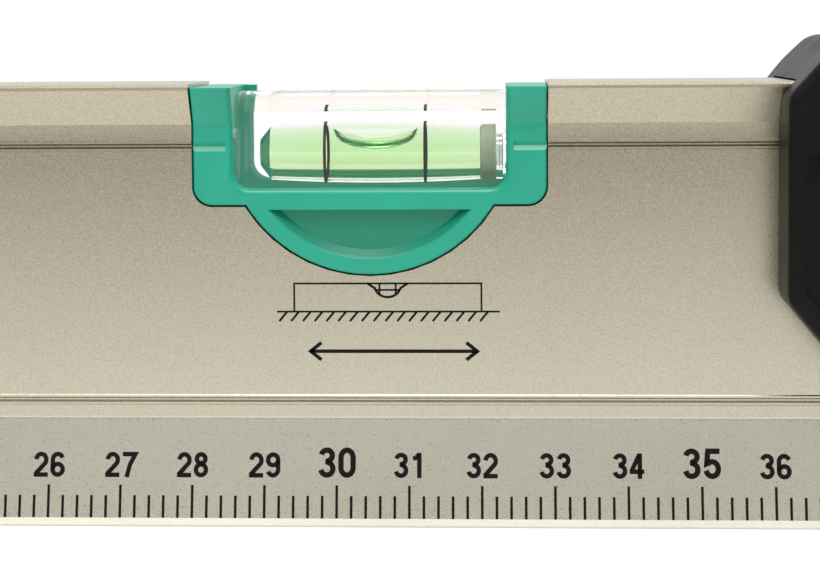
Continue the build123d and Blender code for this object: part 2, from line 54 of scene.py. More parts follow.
class Shader:
    """A material's node tree with short ways to add and link nodes."""

    def __init__(self, name):
        self.material = bpy.data.materials.new(name)
        self.material.use_nodes = True
        self.tree = self.material.node_tree
        self.tree.nodes.clear()
        self.output = self.tree.nodes.new("ShaderNodeOutputMaterial")
        self.place = None

    def add(self, kind, **inputs):
        node = self.tree.nodes.new(kind)
        for key, value in inputs.items():
            self.feed(node, key.replace("_", " "), value)
        return node

    def feed(self, node, key, value):
        """Link an output socket into an input, or set the input's own value."""
        socket = node.inputs[int(key[1:])] if key[0] == "#" else node.inputs[key]
        if isinstance(value, bpy.types.NodeSocket):
            self.tree.links.new(value, socket)
        else:
            socket.default_value = value

    def coordinates(self, stretch=(1, 1, 1)):
        """Object coordinates, which are the shared frame in metres, scaled per axis."""
        if self.place is None:
            self.place = self.add("ShaderNodeTexCoord").outputs["Object"]
        mapping = self.add("ShaderNodeMapping", Vector=self.place)
        mapping.inputs["Scale"].default_value = stretch
        return mapping.outputs["Vector"]

    def axis(self, index):
        """Place along one axis of the frame, in metres."""
        return self.add("ShaderNodeSeparateXYZ", Vector=self.coordinates()).outputs[index]

    def absolute(self, value):
        node = self.add("ShaderNodeMath")
        node.operation = "ABSOLUTE"
        self.feed(node, "#0", value)
        return node.outputs[0]

    def noise(self, size, stretch=(1, 1, 1), detail=2.0, roughness=0.5):
        """Noise whose features are about size metres across, before the stretch."""
        node = self.add("ShaderNodeTexNoise", Vector=self.coordinates(stretch))
        node.inputs["Scale"].default_value = 1 / size
        node.inputs["Detail"].default_value = detail
        node.inputs["Roughness"].default_value = roughness
        return node.outputs["Fac"]

    def span(self, factor, low, high, start=0.0, end=1.0):
        """A number that goes from start to end as factor goes from low to high."""
        node = self.add("ShaderNodeMapRange")
        node.clamp = True
        for index, value in enumerate((factor, low, high, start, end)):
            self.feed(node, f"#{index}", value)
        return node.outputs["Result"]

    def blend(self, factor, first, second):
        """A colour between two others."""
        node = self.add("ShaderNodeMix")
        node.data_type = "RGBA"
        self.feed(node, "#0", factor)
        self.feed(node, "#6", first)
        self.feed(node, "#7", second)
        return node.outputs[2]

    def bump(self, height, distance, strength=1.0, below=None):
        node = self.add("ShaderNodeBump", Height=height)
        node.inputs["Distance"].default_value = distance
        node.inputs["Strength"].default_value = strength
        if below is not None:
            self.feed(node, "Normal", below)
        return node.outputs["Normal"]

    def surface(self, node):
        self.tree.links.new(node.outputs[0], self.output.inputs["Surface"])
        return self.material

    def volume(self, node):
        self.tree.links.new(node.outputs[0], self.output.inputs["Volume"])


def rgb(red, green, blue):
    """A display colour, 0 to 255, as linear red, green, blue and alpha."""
    linear = []
    for part in (red, green, blue):
        part /= 255
        linear.append(part / 12.92 if part <= 0.04045 else ((part + 0.055) / 1.055) ** 2.4)
    return (*linear, 1.0)


# ---------------------------------------------------------------- materials

# Heights where painted reflection changes the tone of the anodised skin: on the web, the upper rail
# and the slope.
WEB_REFLECTION_LOW = 18 * MM
WEB_REFLECTION_HIGH = 50 * MM
RAIL_REFLECTION_LOW = 53 * MM
RAIL_REFLECTION_HIGH = 55 * MM
SLOPE_REFLECTION_LOW = 14.4 * MM
SLOPE_REFLECTION_HIGH = 15.0 * MM


def aluminium_material():
    """Satin anodised aluminium: fine blasted grain, faint lines along the extrusion, and painted
    reflection graded by height.
    """
    s = Shader("anodised_aluminium")
    cloud = s.noise(30 * MM, detail=3.0)
    grain = s.noise(0.2 * MM, detail=1.0, roughness=0.7)
    lines = s.noise(0.35 * MM, stretch=(0.02, 1, 1), detail=3.0)
    height = s.axis(2)
    # painted reflection by height: the web lighter towards the bottom and darker towards the top, the
    # upper rail a tone of its own, the ruler slope pale
    tone = s.blend(s.span(height, WEB_REFLECTION_LOW, WEB_REFLECTION_HIGH), rgb(192, 187, 168), rgb(160, 153, 133))
    tone = s.blend(s.span(height, RAIL_REFLECTION_LOW, RAIL_REFLECTION_HIGH), tone, rgb(182, 174, 152))
    tone = s.blend(s.span(height, SLOPE_REFLECTION_LOW, SLOPE_REFLECTION_HIGH, 1.0, 0.0), tone, rgb(240, 236, 222))
    tone = s.blend(s.span(cloud, 0.3, 0.7, 0.0, 0.12), tone, rgb(150, 145, 128))
    tone = s.blend(s.span(grain, 0.45, 0.8, 0.0, 0.35), tone, rgb(225, 220, 204))
    tone = s.blend(s.span(grain, 0.2, 0.48, 0.35, 0.0), tone, rgb(120, 115, 98))
    normal = s.bump(lines, 0.004 * MM)
    normal = s.bump(grain, 0.005 * MM, below=normal)
    shader = s.add(
        "ShaderNodeBsdfPrincipled",
        Base_Color=tone,
        Metallic=1.0,
        Roughness=s.span(grain, 0.25, 0.75, 0.26, 0.34),
        Normal=normal,
    )
    return s.surface(shader)


PAINTED_SHADE_DEPTH = 6.9 * MM       # from the middle plane out to a holder's recesses, which get painted shade
FACE_DEPTH = 7.2 * MM       # and out to just below its faces
PAINTED_GLOW_STRENGTH = 0.5             # painted glow: emission by the plastic round the vial
PAINTED_GLOW_LOW = 45 * MM          # it starts at the window's sill
PAINTED_GLOW_HIGH = 46 * MM


def moulded_plastic(
    name, colour, deeper, roughness, grain_size, grain_depth, gloss=0.5, dust=None, shade_glow_colour=None
):
    """Injection-moulded plastic: slight colour drift, fine moulded grain, optional dust.

    The optional colour for painted shade darkens the recesses, and round the vial, above the sill, the
    plastic emits it as a painted glow.
    """
    s = Shader(name)
    drift = s.noise(9 * MM, detail=3.0)
    grain = s.noise(grain_size, detail=2.0, roughness=0.6)
    tone = s.blend(s.span(drift, 0.35, 0.65), deeper, colour)
    rough = s.span(drift, 0.3, 0.7, roughness - 0.04, roughness + 0.04)
    if dust is not None:
        speck = s.span(s.noise(0.8 * MM, detail=5.0, roughness=0.75), 0.66, 0.74)
        tone = s.blend(speck, tone, dust)
    # painted shade: towards the middle plane, in recesses and round the window, the colour turns to
    # the shade colour
    if shade_glow_colour is not None:
        inside = s.span(s.absolute(s.axis(1)), PAINTED_SHADE_DEPTH, FACE_DEPTH, 1.0, 0.0)
        tone = s.blend(inside, tone, shade_glow_colour)
    wave = s.noise(14 * MM, detail=1.0)
    normal = s.bump(wave, 0.04 * MM)
    normal = s.bump(grain, grain_depth, below=normal)
    shader = s.add("ShaderNodeBsdfPrincipled", Base_Color=tone, Roughness=rough, Normal=normal)
    shader.inputs["Specular IOR Level"].default_value = gloss
    # painted glow: above the sill the plastic round the vial emits the shade colour, though it is no
    # lamp
    if shade_glow_colour is not None:
        glow_mask = s.span(s.axis(2), PAINTED_GLOW_LOW, PAINTED_GLOW_HIGH)
        s.feed(shader, "Emission Color", s.blend(glow_mask, (0, 0, 0, 1), shade_glow_colour))
        s.feed(shader, "Emission Strength", s.span(inside, 0.0, 1.0, 0.0, PAINTED_GLOW_STRENGTH))
    return s.surface(shader)


def steel_material():
    """Bright zinc-plated steel with turning marks."""
    s = Shader("screw_steel")
    marks = s.noise(0.12 * MM, stretch=(1, 0.1, 1), detail=2.0)
    tone = s.blend(s.span(marks, 0.3, 0.7), rgb(176, 178, 182), rgb(205, 206, 208))
    shader = s.add(
        "ShaderNodeBsdfPrincipled",
        Base_Color=tone,
        Metallic=1.0,
        Roughness=s.span(marks, 0.3, 0.7, 0.22, 0.36),
        Normal=s.bump(marks, 0.01 * MM),
    )
    return s.surface(shader)


def print_material():
    """Matt black screen print, a little uneven."""
    s = Shader("mark_black")
    mottle = s.noise(0.25 * MM, detail=3.0)
    tone = s.blend(s.span(mottle, 0.3, 0.7), rgb(9, 9, 8), rgb(18, 18, 16))
    shader = s.add(
        "ShaderNodeBsdfPrincipled",
        Base_Color=tone,
        Roughness=s.span(mottle, 0.3, 0.7, 0.45, 0.6),
        Normal=s.bump(mottle, 0.004 * MM),
    )
    shader.inputs["Specular IOR Level"].default_value = 0.15
    return s.surface(shader)


ACRYLIC_INDEX = 1.49
LIQUID_INDEX = 1.36
TINT = (0.60, 0.87, 0.42, 1)
TINT_DENSITY = 172.0


def clear_material(name, ratio, ripple, ripple_depth):
    """A clear boundary between two media; ratio is the inner index over the outer one."""
    s = Shader(name)
    shader = s.add(
        "ShaderNodeBsdfGlass",
        Color=(1, 1, 1, 1),
        Roughness=0.0,
        IOR=ratio,
        Normal=s.bump(s.noise(ripple, stretch=(0.2, 1, 1), detail=1.0), ripple_depth),
    )
    s.surface(shader)
    return s


def acrylic_material():
    return clear_material("clear_acrylic", ACRYLIC_INDEX, 5 * MM, 0.01 * MM).material


def liquid_material():
    s = clear_material("vial_liquid", LIQUID_INDEX / ACRYLIC_INDEX, 4 * MM, 0.002 * MM)
    tint = s.add("ShaderNodeVolumeAbsorption")
    tint.inputs["Color"].default_value = TINT
    tint.inputs["Density"].default_value = TINT_DENSITY
    s.volume(tint)
    return s.material


def bubble_material():
    return clear_material("bubble_gas", 1 / LIQUID_INDEX, 3 * MM, 0.002 * MM).material


def stopper_material():
    """Soft pale translucent stopper."""
    s = Shader("stopper_plastic")
    cloud = s.noise(1.6 * MM, detail=3.0)
    tone = s.blend(s.span(cloud, 0.3, 0.7), rgb(176, 190, 150), rgb(196, 206, 172))
    shader = s.add(
        "ShaderNodeBsdfPrincipled",
        Base_Color=tone,
        Roughness=0.5,
        Normal=s.bump(cloud, 0.02 * MM),
    )
    shader.inputs["Subsurface Weight"].default_value = 0.3
    shader.inputs["Subsurface Radius"].default_value = (0.001, 0.001, 0.0008)
    return s.surface(shader)


# Distances behind the body's middle plane over which the floor turns to a warm painted shadow, and
# white again.
SHADOW_FRONT = 0.01
SHADOW_BACK = 0.3
SHADOW_END = 0.7


def floor_material():
    """Luminous white floor, with a warm painted shadow close behind the object."""
    s = Shader("studio_floor")
    cloud = s.noise(0.4, detail=2.0)
    tone = s.blend(cloud, (0.6, 0.6, 0.6, 1), (0.62, 0.62, 0.62, 1))
    depth = s.axis(1)
    white = (1, 1, 1, 1)
    # painted shadow: the floor's emission turns warm and dimmer close behind the object
    glow = s.blend(s.span(depth, SHADOW_BACK, SHADOW_END), rgb(190, 172, 148), white)
    glow = s.blend(s.span(depth, 0.0, SHADOW_FRONT), white, glow)
    shader = s.add(
        "ShaderNodeBsdfPrincipled", Base_Color=tone, Roughness=0.8, Emission_Color=glow
    )
    shader.inputs["Specular IOR Level"].default_value = 0.1
    shader.inputs["Emission Strength"].default_value = 0.5
    return s.surface(shader)


# ---------------------------------------------------------------- mesh helpers

def new_object(name, mesh_maker, material, body="root"):
    """A mesh object from a bmesh, riding on a body, with its finish."""
    bm = bmesh.new()
    mesh_maker(bm)
    bmesh.ops.recalc_face_normals(bm, faces=bm.faces)
    for face in bm.faces:
        face.smooth = True
    for edge in bm.edges:
        if len(edge.link_faces) == 2 and edge.calc_face_angle(0) > math.radians(32):
            edge.smooth = False
    mesh = bpy.data.meshes.new(name)
    bm.to_mesh(mesh)
    bm.free()
    mesh.materials.append(material)
    piece = bpy.data.objects.new(name, mesh)
    bpy.context.scene.collection.objects.link(piece)
    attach(piece, body)
    return piece


def even_turns(segments):
    """Angles in equal steps round a whole turn."""
    return [2 * math.pi * index / segments for index in range(segments)]


def lathe(bm, profile, place, turns=None):
    """Turn a half section of (axial, radial) points round the axis of place.

    A radial value may also be a function of the turn, for a form that isn't round.
    """
    turns = turns or even_turns(96)
    segments = len(turns)
    rings = []
    for axial, radial in profile:
        if radial == 0:
            rings.append([bm.verts.new(place @ Vector((axial, 0, 0)))])
            continue
        ring = []
        for turn in turns:
            reach = radial(turn) if callable(radial) else radial
            point = Vector((axial, reach * math.cos(turn), reach * math.sin(turn)))
            ring.append(bm.verts.new(place @ point))
        rings.append(ring)
    closed = profile[0][1] != 0
    pairs = list(zip(rings, rings[1:] + rings[:1])) if closed else list(zip(rings, rings[1:]))
    for first, second in pairs:
        for index in range(segments):
            after = (index + 1) % segments
            corners = [first[index % len(first)], first[after % len(first)]]
            corners += [second[after % len(second)], second[index % len(second)]]
            unique = list(dict.fromkeys(corners))
            if len(unique) > 2:
                bm.faces.new(unique)


def ribbon(bm, points, width, place, closed=False, thickness=0.03 * MM, sink=0.01 * MM):
    """A thin closed stroke along flat points, mitred at its corners, laid on a surface."""
    count = len(points)
    sides = []
    for index, point in enumerate(points):
        before = points[index - 1] if index or closed else None
        after = points[(index + 1) % count] if index < count - 1 or closed else None
        into = (point - before).normalized() if before is not None else None
        away = (after - point).normalized() if after is not None else None
        run = ((into or away) + (away or into)).normalized()
        normal = Vector((-run.y, run.x))
        stretch = 1 / max(0.5, run.dot(into or away))
        offset = normal * (width / 2 * stretch)
        sides.append((point + offset, point - offset))
    levels = []
    for height in (-sink, thickness - sink):
        row = []
        for left, right in sides:
            row.append([bm.verts.new(place @ Vector((p.x, p.y, height))) for p in (left, right)])
        levels.append(row)
    low, high = levels
    for index in range(count if closed else count - 1):
        after = (index + 1) % count
        bm.faces.new((high[index][0], high[index][1], high[after][1], high[after][0]))
        bm.faces.new((low[index][0], low[after][0], low[after][1], low[index][1]))
        for side in (0, 1):
            quad = (high[index][side], high[after][side], low[after][side], low[index][side])
            bm.faces.new(quad)
    if not closed:
        for end in (0, -1):
            bm.faces.new((high[end][0], low[end][0], low[end][1], high[end][1]))


def arc(centre_x, centre_y, radius_x, radius_y, start, end, steps=14):
    """Points of an ellipse's arc between two angles in degrees."""
    points = []
    for index in range(steps + 1):
        angle = math.radians(start + (end - start) * index / steps)
        x = centre_x + radius_x * math.cos(angle)
        points.append(Vector((x, centre_y + radius_y * math.sin(angle))))
    return points


# ---------------------------------------------------------------- vials

ACRYLIC = acrylic_material()
LIQUID = liquid_material()
BUBBLE = bubble_material()
STOPPER = stopper_material()
PRINT = print_material()

CONE_LENGTH = {"horizontal": 1.5 * MM, "plumb": 1.0 * MM}
CONE_RADIUS = {"horizontal": 1.9 * MM, "plumb": 2.3 * MM}
SEGMENTS = 160              # round the clear tube and the liquid
BARREL_STEPS = 24           # along the liquid's barrel
SKIN = 0.01 * MM            # how far embedded faces pass each other
SHOULDER_RISE = 5.9 * MM    # bore's axis up to the edge where the block's dome starts
PLUG_FLANGE = 0.9 * MM      # thickness of the clear plug's flange
PLUG_GAP = 0.05 * MM        # air between the plug and the tube
PLUG_RIDGES = 4
RIDGE_DEPTH = 0.25 * MM
STOPPER_EDGE = 0.25 * MM    # bevel round the stopper's face
MOUTH_LAP = 0.2 * MM        # how far the stopper's face stands inside the clear solid
DISH_RADIUS = 3.6 * MM      # round dish in the block's closed end
DISH_DEPTH = 0.5 * MM
BUBBLE_GAP = 0.06 * MM      # to the bore's narrowest place, so that the bubble can slide
BUBBLE_BELLY = 0.1          # its underside above the axis, as a share of the bore's radius
BUBBLE_BREADTH = 0.82       # its half width, as a share of its top's height
BUBBLE_BLUNTNESS = 0.7      # 1 for pointed ends, less for blunt ones


def bore_radius(distance, crown, curve):
    return crown - (curve - math.sqrt(curve * curve - distance * distance))


def vial_sizes(kind):
    """Sizes of one vial along its own axis, read from its CAD pieces."""
    along, across = (0, 1) if kind == "horizontal" else (2, 1)
    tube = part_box(f"{kind}_vial_tube")
    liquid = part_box(f"{kind}_vial_liquid")
    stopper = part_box(f"{kind}_vial_stopper")
    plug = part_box(f"{kind}_vial_plug")
    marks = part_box(f"{kind}_vial_marks")
    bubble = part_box(f"{kind}_vial_bubble")
    middle = (marks[0][along] + marks[1][along]) / 2
    crown = (liquid[1][across] - liquid[0][across]) / 2
    high = stopper[0][along] - middle
    open_radius = (stopper[1][across] - stopper[0][across]) / 2
    drop = crown - open_radius
    return {
        "middle": middle,
        "outer": (tube[1][across] - tube[0][across]) / 2,
        "start": tube[0][along] - middle,
        "end": tube[1][along] - middle,
        "crown": crown,
        "low": liquid[0][along] + CONE_LENGTH[kind] - middle,
        "high": high,
        "open": open_radius,
        "curve": (high * high + drop * drop) / (2 * drop),
        "stopper_end": stopper[1][along] - middle,
        "flange": (plug[1][across] - plug[0][across]) / 2,
        "cone_radius": CONE_RADIUS[kind],
        "cone_start": liquid[0][along] - middle,
        "bubble": bubble[1][along] - bubble[0][along],
        "bubble_middle": (bubble[1][along] + bubble[0][along]) / 2 - middle,
    }


def vial_place(kind, size):
    """Matrix from the vial's own axis, +X towards its plug and +Z to the bubble's side."""
    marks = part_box(f"{kind}_vial_marks")
    centre = (marks[0] + marks[1]) / 2
    if kind == "horizontal":
        return Matrix.Translation((size["middle"], centre.y, centre.z))
    turned = Matrix.Rotation(math.radians(-90), 4, "Y")
    return Matrix.Translation((centre.x, centre.y, size["middle"])) @ turned


def block_reach(turn, half_width, base, shoulder, crown):
    """Distance from the bore's axis to the skin of the domed block, in the direction of a turn."""
    across = abs(math.cos(turn))
    up = math.sin(turn)
    reach = half_width / across if across > 0 else math.inf
    if up < 0:
        return min(reach, base / -up)
    rise = crown - shoulder
    dome = (half_width ** 2 + rise ** 2) / (2 * rise)
    centre = crown - dome
    return min(reach, centre * up + math.sqrt(dome ** 2 - (centre * across) ** 2))


def block_skin(kind, centre):
    """The block's reach as a function of the turn, and the turns that trace its corners exactly."""
    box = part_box(f"{kind}_vial_tube")
    half_width = (box[1].y - box[0].y) / 2
    base = centre.z - box[0].z
    crown = box[1].z - centre.z
    corners = []
    for y, z in ((half_width, SHOULDER_RISE), (half_width, -base)):
        turn = math.atan2(z, y)
        corners += [turn % (2 * math.pi), (math.pi - turn) % (2 * math.pi)]
    turns = [turn for turn in even_turns(240) if min(abs(turn - corner) for corner in corners) > 0.004]
    turns = sorted(turns + corners)
    return lambda turn: block_reach(turn, half_width, base, SHOULDER_RISE, crown), turns


def make_tube(kind, size, place):
    """Clear solid tube or block, with an open bore only behind the stopper's face."""
    start = size["start"] - SKIN
    end = size["end"] + SKIN
    bore = size["open"]
    mouth = size["high"] + MOUTH_LAP
    flange_seat = size["end"] - PLUG_FLANGE
    if kind == "horizontal":
        outer, turns = block_skin(kind, place.translation)
        floor = size["start"] + DISH_DEPTH
        closed_end = [(floor, 0), (floor, DISH_RADIUS), (start, DISH_RADIUS)]
    else:
        outer, turns = size["outer"], even_turns(SEGMENTS)
        closed_end = [(start, 0)]
    profile = [
        *closed_end,
        (start, outer),
        (end, outer),
        (end, size["flange"]),
        (flange_seat, size["flange"]),
        (flange_seat, bore),
        (mouth, bore),
        (mouth, 0),
    ]
    piece = new_object(
        f"{kind}_vial_clear_tube",
        lambda bm: lathe(bm, profile, place, turns),
        ACRYLIC,
    )
    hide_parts(f"{kind}_vial_tube")


def make_liquid(kind, size, place):
    """The filled bore: barrel wall, cone at the closed end, flat against the stopper."""
    low = size["low"]
    high = size["high"]
    profile = [(size["cone_start"], 0), (size["cone_start"], size["cone_radius"])]
    for index in range(BARREL_STEPS + 1):
        axial = low + (high - low) * index / BARREL_STEPS
        profile.append((axial, bore_radius(axial, size["crown"], size["curve"])))
    profile.append((high, 0))
    piece = new_object(
        f"{kind}_vial_tinted_liquid",
        lambda bm: lathe(bm, profile, place, even_turns(SEGMENTS)),
        LIQUID,
    )
    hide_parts(f"{kind}_vial_liquid")


def make_bubble(kind, size, place):
    """Long bubble flat against the top of the bore, with a rounded belly and blunt ends."""
    half = size["bubble"] / 2
    narrow = min(size["open"], bore_radius(size["low"], size["crown"], size["curve"]))
    wall = narrow - BUBBLE_GAP
    belly = BUBBLE_BELLY * size["crown"]
    rise = (wall - belly) / 2
    breadth = BUBBLE_BREADTH * wall
    rows = 40
    columns = 64

    def shape(bm):
        grid = []
        for row in range(1, rows):
            turn = math.pi * row / rows
            axial = -half * math.cos(turn)
            girth = math.sin(turn) ** BUBBLE_BLUNTNESS
            ring = []
            for column in range(columns):
                angle = 2 * math.pi * column / columns
                y = breadth * girth * math.cos(angle)
                z = wall - rise * girth * (1 - math.sin(angle))
                reach = math.hypot(y, z)
                if reach > wall:
                    y, z = y * wall / reach, z * wall / reach
                point = Vector((size["bubble_middle"] + axial, y, z))
                ring.append(bm.verts.new(place @ point))
            grid.append(ring)
        for first, second in zip(grid, grid[1:]):
            for column in range(columns):
                after = (column + 1) % columns
                bm.faces.new((first[column], first[after], second[after], second[column]))
        for ring, side in ((grid[0], -1), (grid[-1], 1)):
            tip = bm.verts.new(place @ Vector((size["bubble_middle"] + side * half, 0, wall)))
            for column in range(columns):
                bm.faces.new((tip, ring[column], ring[(column + 1) % columns]))

    piece = new_object(f"{kind}_vial_air_bubble", shape, BUBBLE, f"{kind}_bubble")
    for face in piece.data.polygons:
        face.use_smooth = True
    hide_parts(f"{kind}_vial_bubble")


def make_stopper_and_plug(kind, size, place):
    """Soft stopper pressed into the bore, and the clear ridged plug behind it."""
    bore = size["open"] + SKIN
    face = size["high"] - SKIN
    back = size["stopper_end"]
    stopper = [
        (face, 0),
        (face, bore - STOPPER_EDGE),
        (face + STOPPER_EDGE, bore),
        (back, bore),
        (back, 0),
    ]
    piece = new_object(
        f"{kind}_vial_soft_stopper",
        lambda bm: lathe(bm, stopper, place),
        STOPPER,
    )
    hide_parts(f"{kind}_vial_stopper")
    shank = size["open"] - PLUG_GAP
    rim = size["flange"] - PLUG_GAP
    seat = size["end"] - PLUG_FLANGE + PLUG_GAP
    pitch = (seat - back) / (PLUG_RIDGES + 0.5)
    plug = [(back + PLUG_GAP, 0)]
    for ridge in range(PLUG_RIDGES):
        at = back + PLUG_GAP + ridge * pitch
        plug += [(at, shank - RIDGE_DEPTH), (at + 0.3 * pitch, shank), (at + 0.7 * pitch, shank)]
    plug += [
        (seat, shank - RIDGE_DEPTH),
        (seat, rim),
        (size["end"], rim),
        (size["end"], 0),
    ]
    piece = new_object(
        f"{kind}_vial_clear_plug", lambda bm: lathe(bm, plug, place), ACRYLIC
    )
    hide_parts(f"{kind}_vial_plug")


def make_vial(kind):
    size = vial_sizes(kind)
    place = vial_place(kind, size)
    make_tube(kind, size, place)
    make_liquid(kind, size, place)
    make_bubble(kind, size, place)
    make_stopper_and_plug(kind, size, place)


# ---------------------------------------------------------------- prints

TICK_WIDTH = 0.37 * MM
TICK_FOOT = 1.3 * MM
TICK_TOP = 4.3 * MM
TICK_TOP_CM = 5.7 * MM
NUMERAL_FOOT = 6.7 * MM
NUMERAL_HEIGHT = 3.45 * MM
NUMERAL_WIDTH = 2.0 * MM
NUMERAL_PITCH = 2.32 * MM
FIFTH_SCALE = 1.2
STEM = 0.18                 # a digit's stroke, as a share of its height
DIGIT_WIDTH = 0.6           # of a digit one unit tall
TICK_STEP = 2 * MM
TICKS_PER_NUMBER = 5
LAST_NUMBER = 60
SCALE_START = 0.3 * MM      # the scale's zero, in from the body's left end
RULER_FOOT = Vector((-10.0, 1.3)) * MM
RULER_TOP = Vector((-7.24, 14.7)) * MM


def ruler_place(x, height):
    """Matrix onto the slanted ruler face: local X along the body, local Y up the slope."""
    share = (height - RULER_FOOT.y) / (RULER_TOP.y - RULER_FOOT.y)
    y = RULER_FOOT.x + (RULER_TOP.x - RULER_FOOT.x) * share
    slope = Vector((0, RULER_TOP.x - RULER_FOOT.x, RULER_TOP.y - RULER_FOOT.y)).normalized()
    normal = Vector((1, 0, 0)).cross(slope)
    turned = Matrix((Vector((1, 0, 0)), slope, normal)).transposed().to_4x4()
    return Matrix.Translation((x, y, height)) @ turned


def web_place(x, z):
    """Matrix onto the front web: local X along the body, local Y up."""
    turned = Matrix.Rotation(math.radians(90), 4, "X")
    return Matrix.Translation((x, RULER_TOP.x, z)) @ turned


def digit_strokes(digit):
    """Centrelines of a digit one unit tall, each with whether it closes."""
    low = STEM / 2
    high = 1 - STEM / 2
    left = STEM / 2
    right = DIGIT_WIDTH - STEM / 2
    mid = 0.3
    reach = mid - left
    six = [
        (arc(mid, 0.3, reach, 0.3 - low, 0, 360, 24)[:-1], True),
        (arc(mid, 0.68, reach, high - 0.68, 20, 180) + [Vector((left, 0.3))], False),
    ]
    if digit == 0:
        loop = arc(mid, 0.66, reach, high - 0.66, 0, 180) + arc(mid, 0.34, reach, 0.34 - low, 180, 360)
        return [(loop, True)]
    if digit == 1:
        stem = [Vector((0.36, 0)), Vector((0.36, 1))]
        flag = [Vector((0.1, 0.77)), Vector((0.24, 0.8)), Vector((0.34, 0.94))]
        return [(stem, False), (flag, False)]
    if digit == 2:
        bow = arc(mid, 0.68, reach, high - 0.68, 175, -35)
        return [(bow + [Vector((left, low * 1.6)), Vector((left, low)), Vector((0.59, low))], False)]
    if digit == 3:
        upper = arc(mid, 0.73, reach - 0.02, high - 0.73, 170, -90)
        lower = arc(mid, 0.3, reach, 0.3 - low, 90, -170)
        bar = [Vector((0.24, 0.53)), Vector((mid + 0.04, 0.53))]
        return [(upper, False), (lower, False), (bar, False)]
    if digit == 4:
        stem = [Vector((0.42, 0)), Vector((0.42, 1))]
        bar = [Vector((0.0, 0.28)), Vector((0.6, 0.28))]
        slant = [Vector((0.4, 0.95)), Vector((0.07, 0.29))]
        return [(stem, False), (bar, False), (slant, False)]
    if digit == 5:
        bowl = arc(mid, 0.33, reach, 0.33 - low, 128, -168)
        return [([Vector((0.56, high)), Vector((0.16, high)), Vector((0.12, 0.5))] + bowl, False)]
    if digit == 6:
        return six
    if digit == 7:
        bar = [Vector((0.02, high)), Vector((right + 0.04, high))]
        return [(bar + [Vector((0.33, 0.5)), Vector((0.2, 0))], False)]
    if digit == 8:
        upper = arc(mid, 0.735, reach - 0.03, high - 0.735, 0, 360, 24)[:-1]
        lower = arc(mid, 0.3, reach, 0.3 - low, 0, 360, 24)[:-1]
        return [(upper, True), (lower, True)]
    nine = []
    for points, closed in six:
        nine.append(([Vector((DIGIT_WIDTH - p.x, 1 - p.y)) for p in points], closed))
    return nine


def draw_number(bm, number, x, foot):
    """A number centred on x, on the ruler face; every fifth one is larger."""
    scale = FIFTH_SCALE if number % 5 == 0 else 1.0
    digits = [int(c) for c in str(number)]
    pitch = NUMERAL_PITCH * scale
    start = -pitch * (len(digits) - 1) / 2 - NUMERAL_WIDTH * scale / 2
    place = ruler_place(x, foot)
    for index, digit in enumerate(digits):
        for points, closed in digit_strokes(digit):
            spots = []
            for p in points:
                across = start + index * pitch + p.x / DIGIT_WIDTH * NUMERAL_WIDTH * scale
                spots.append(Vector((across, p.y * NUMERAL_HEIGHT * scale)))
            ribbon(bm, spots, STEM * NUMERAL_HEIGHT * scale, place, closed)


def make_scale():
    """Ticks every 2 mm and a number every centimetre along the ruler face."""
    left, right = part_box("body_extrusion")
    zero = left.x + SCALE_START

    def ticks(bm):
        step = 0
        slant = (RULER_TOP - RULER_FOOT).length / (RULER_TOP.y - RULER_FOOT.y)
        while zero + step * TICK_STEP < right.x - TICK_WIDTH:
            top = TICK_TOP_CM if step % TICKS_PER_NUMBER == 0 else TICK_TOP
            length = (top - TICK_FOOT) * slant
            place = ruler_place(zero + step * TICK_STEP, TICK_FOOT)
            ribbon(bm, [Vector((0, 0)), Vector((0, length))], TICK_WIDTH, place)
            step += 1

    def numbers(bm):
        for number in range(1, LAST_NUMBER + 1):
            draw_number(bm, number, zero + number * TICKS_PER_NUMBER * TICK_STEP, NUMERAL_FOOT)

    new_object("scale_ticks", ticks, PRINT)
    new_object("scale_numerals", numbers, PRINT)


def level_symbol(bm, place):
    """A level on hatched ground, with its vial; the origin is the middle of the ground."""
    line = 0.26 * MM
    body_left, body_right = -12.9 * MM, 12.9 * MM
    top = 3.9 * MM
    notch = 2.75 * MM
    ribbon(bm, [Vector((-15.3 * MM, 0)), Vector((15.4 * MM, 0))], line, place)
    outline = [
        Vector((-notch, top)),
        Vector((body_left, top)),
        Vector((body_left, 0)),
    ]
    ribbon(bm, outline, line, place)
    ribbon(bm, [Vector((notch, top)), Vector((body_right, top)), Vector((body_right, 0))], line, place)
    bowl = [Vector((-notch, top))] + arc(0, top, 1.9 * MM, 1.9 * MM, 200, 340) + [Vector((notch, top))]
    ribbon(bm, bowl, line * 1.3, place)
    ribbon(bm, [Vector((-notch, top)), Vector((notch, top))], line, place)
    for side in (-1, 1):
        spot = side * 1.12 * MM
        ribbon(bm, [Vector((spot, top)), Vector((spot, top - 1.5 * MM))], line, place)
    ribbon(bm, [Vector((-1.7 * MM, top - 0.9 * MM)), Vector((1.7 * MM, top - 0.9 * MM))], line, place)
    for index in range(18):
        x = (-13.9 + 1.63 * index) * MM
        ribbon(bm, [Vector((x, 0)), Vector((x - 1.1 * MM, -1.33 * MM))], line * 1.2, place)


def double_arrow(bm, place, half):
    """A plain double-headed arrow along local X."""
    line = 0.5 * MM
    head = 1.5 * MM
    ribbon(bm, [Vector((-half, 0)), Vector((half, 0))], line, place)
    for side in (-1, 1):
        tip = side * half
        barbs = [Vector((tip - side * head, up * head * 0.8)) for up in (1, -1)]
        ribbon(bm, [barbs[0], Vector((tip, 0)), barbs[1]], line, place)


